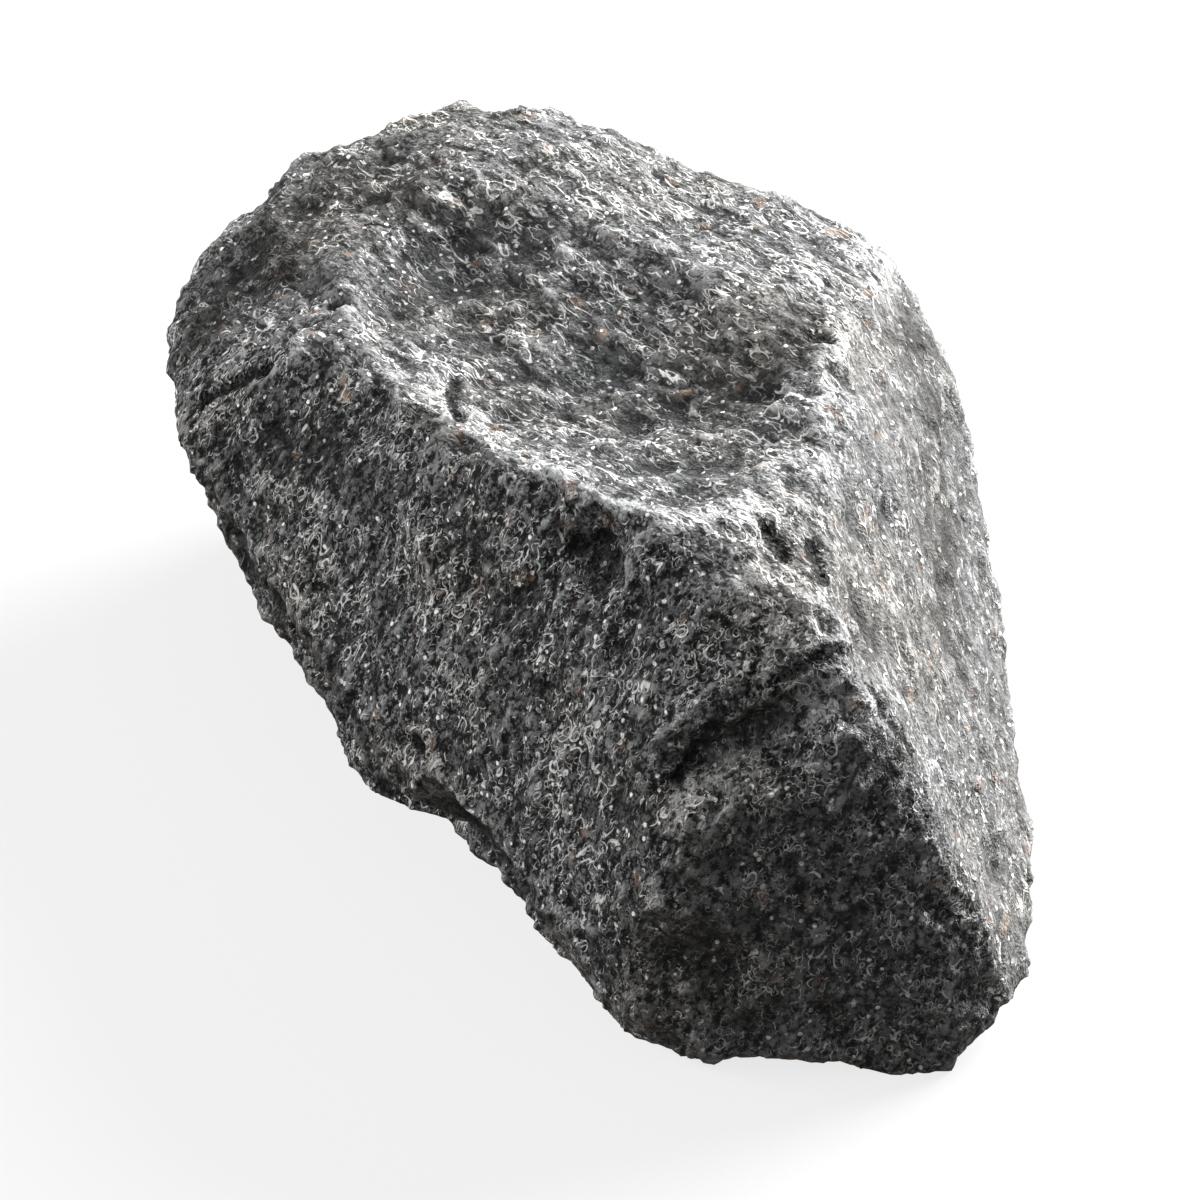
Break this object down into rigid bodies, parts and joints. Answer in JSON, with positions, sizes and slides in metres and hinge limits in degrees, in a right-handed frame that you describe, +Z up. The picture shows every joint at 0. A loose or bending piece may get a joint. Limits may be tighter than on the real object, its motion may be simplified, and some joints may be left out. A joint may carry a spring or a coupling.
{
  "type": "rough rock",
  "caption": "Rough broken rock of dark crystalline stone with a hollowed top, a steep front and an undercut lip, lying on its flat underside.",
  "frame": {"origin": "middle of the rock's outline on the surface that it rests on", "axes": "+Z up from the resting face, +Y away from the steep front face along the longest side, +X towards the bright right flank"},
  "size_m": [0.1634, 0.2271, 0.0964],
  "materials": {
    "stone": "matt, rough broken face with pale grains"
  },
  "bodies": {
    "root": {"rock": "stone"}
  },
  "joints": []
}
